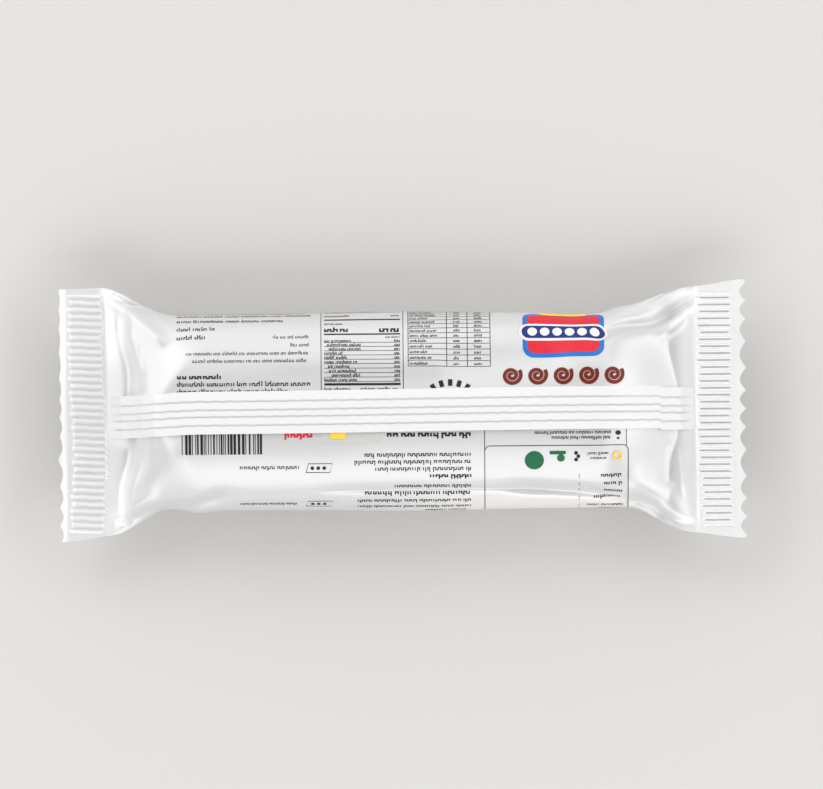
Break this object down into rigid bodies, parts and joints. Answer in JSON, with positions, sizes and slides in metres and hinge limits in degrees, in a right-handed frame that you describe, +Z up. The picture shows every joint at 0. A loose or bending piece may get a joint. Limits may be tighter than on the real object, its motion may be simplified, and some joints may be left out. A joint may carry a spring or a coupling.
{
  "type": "flow-wrapped cake pack",
  "caption": "Shut white film flow pack round one small swiss roll cake, with a ridged, tooth-cut seal at each end and a folded seal strip along its back.",
  "frame": {"origin": "middle of the flat spot it rests on, under the middle of the pack", "axes": "+X along the pack, +Y across it, +Z up through the back seal; it lies on its front"},
  "size_m": [0.1499, 0.0561, 0.027],
  "materials": {
    "film": "satin white packaging film"
  },
  "bodies": {
    "root": {"pack": "film"}
  },
  "joints": []
}
